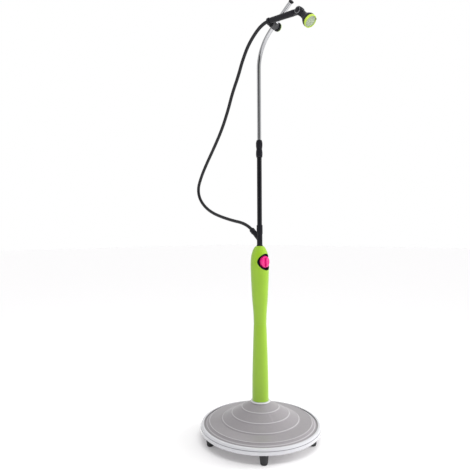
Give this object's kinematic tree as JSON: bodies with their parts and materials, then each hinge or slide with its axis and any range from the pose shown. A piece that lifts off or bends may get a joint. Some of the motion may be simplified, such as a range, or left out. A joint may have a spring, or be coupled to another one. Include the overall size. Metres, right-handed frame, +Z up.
{
  "type": "garden shower",
  "caption": "Free-standing garden shower with a round terraced base on feet, a column with a valve knob, a telescopic mast bent forward and a hand shower on a sliding clamp.",
  "frame": {"origin": "on the floor under the middle of the base, on the column's axis", "axes": "+Z up along the column, +X towards the valve knob and the spray head, +Y to the clamp knob's side"},
  "size_m": [0.7831, 0.563, 1.9921],
  "materials": {
    "grey_plastic": "satin translucent grey",
    "rim_plastic": "glossy pale grey",
    "green_plastic": "satin lime green",
    "magenta_plastic": "glossy magenta",
    "black_plastic": "satin black",
    "black_tube": "satin black enamel",
    "foot_rubber": "matt black",
    "seal_rubber": "matt black",
    "hose_rubber": "satin black",
    "chrome": "polished",
    "steel": "zinc plated",
    "brass": "turned",
    "pipe_plastic": "natural grey",
    "lime_plastic": "satin yellow green",
    "grey_slider": "satin dark grey",
    "trim_chrome": "polished",
    "pale_plastic": "pale grey green"
  },
  "bodies": {
    "stand": {"base_cover": "grey_plastic", "base_rim": "rim_plastic", "base_pan": "grey_plastic", "neck_ring": "rim_plastic", "ballast_plug_seal": "seal_rubber", "foot_1": "foot_rubber", "foot_2": "foot_rubber", "foot_3": "foot_rubber", "foot_4": "foot_rubber", "foot_5": "foot_rubber", "foot_screws": "steel", "column_socket": "black_plastic", "socket_bolts": "steel", "column_lower": "green_plastic", "column_upper": "green_plastic", "column_joint_sleeve": "black_plastic", "riser_tube": "pipe_plastic", "inlet_elbow": "black_plastic", "inlet_nipple": "pipe_plastic", "inlet_seal": "seal_rubber", "valve_body": "brass", "spindle_seal": "seal_rubber", "spindle_nut": "brass", "knob_recess": "black_plastic", "outlet_pipe": "pipe_plastic", "branch_fitting": "black_plastic", "branch_ferrule": "black_plastic", "hose_washer": "seal_rubber", "hose": "hose_rubber", "mast_outer_tube": "black_tube", "lock_body": "black_plastic", "lock_collet": "black_plastic"},
    "filler": {"ballast_plug": "black_plastic"},
    "valve_control": {"valve_spindle": "brass", "valve_knob": "magenta_plastic", "knob_screw": "steel", "knob_cap": "magenta_plastic"},
    "lock": {"lock_nut": "black_plastic"},
    "mast_guide": {"mast_guide_bush": "black_plastic"},
    "mast": {"mast_inner_tube": "chrome", "mast_end_cap": "black_plastic"},
    "slider_sleeve": {"slider_liner": "black_plastic"},
    "slider": {"slider_body": "grey_slider", "holder_pivot_screw": "steel"},
    "clamp": {"clamp_knob": "black_plastic", "clamp_bolt": "steel", "clamp_knob_cap": "green_plastic"},
    "holder": {"handset_holder": "black_plastic"},
    "handset": {"handle_body": "black_plastic", "tail_nut": "black_plastic", "head_pivot_pin": "steel"},
    "head": {"head_body": "black_plastic", "pivot_caps": "black_plastic", "pivot_trims": "trim_chrome"},
    "spray_dial": {"face_ring": "lime_plastic", "spray_plate": "pale_plastic", "spray_nozzles": "pale_plastic", "dial_tab": "black_plastic"}
  },
  "joints": [
    {"name": "filler_plug_turn", "type": "hinge", "parent": "stand", "child": "filler", "pos_m": [-0.14849, 0.14849, 0.0955], "axis": [0, 0, 1], "range_deg": [-90, 0]},
    {"name": "valve_turn", "type": "hinge", "parent": "stand", "child": "valve_control", "pos_m": [0, 0, 0.829], "axis": [1, 0, 0], "range_deg": [0, 90]},
    {"name": "lock_turn", "type": "hinge", "parent": "stand", "child": "lock", "pos_m": [0, 0, 1.38], "axis": [0, 0, 1], "range_deg": [0, 90]},
    {"name": "mast_slide", "type": "slide", "parent": "stand", "child": "mast_guide", "axis": [0, 0, 1], "range_m": [-0.27, 0], "deforming": ["hose"]},
    {"name": "mast_swivel", "type": "hinge", "parent": "mast_guide", "child": "mast", "pos_m": [0, 0, 1.3], "axis": [0, 0, 1], "range_deg": [-90, 90], "deforming": ["hose"]},
    {"name": "slider_slide", "type": "slide", "parent": "mast", "child": "slider_sleeve", "axis": [0.7986, 0, 0.6018], "range_m": [0, 0.09], "deforming": ["hose"]},
    {"name": "slider_swivel", "type": "hinge", "parent": "slider_sleeve", "child": "slider", "pos_m": [0.09561, 0, 1.90736], "axis": [0.7986, 0, 0.6018], "range_deg": [-30, 30], "deforming": ["hose"]},
    {"name": "clamp_turn", "type": "hinge", "parent": "slider", "child": "clamp", "pos_m": [0.09561, 0.023, 1.90736], "axis": [0, 1, 0], "range_deg": [0, 180]},
    {"name": "holder_tilt", "type": "hinge", "parent": "slider", "child": "holder", "pos_m": [0.09561, -0.024, 1.90736], "axis": [0, 1, 0], "range_deg": [-30, 30], "deforming": ["hose"]},
    {"name": "handset_lift", "type": "slide", "parent": "holder", "child": "handset", "axis": [0.9962, 0, -0.0872], "range_m": [0, 0.05], "deforming": ["hose"]},
    {"name": "head_pivot", "type": "hinge", "parent": "handset", "child": "head", "pos_m": [0.26599, -0.038, 1.89945], "axis": [0, 1, 0], "range_deg": [-40, 40]},
    {"name": "dial_turn", "type": "hinge", "parent": "head", "child": "spray_dial", "pos_m": [0.32121, -0.038, 1.83748], "axis": [0.6652, 0, -0.7466], "continuous": true}
  ]
}
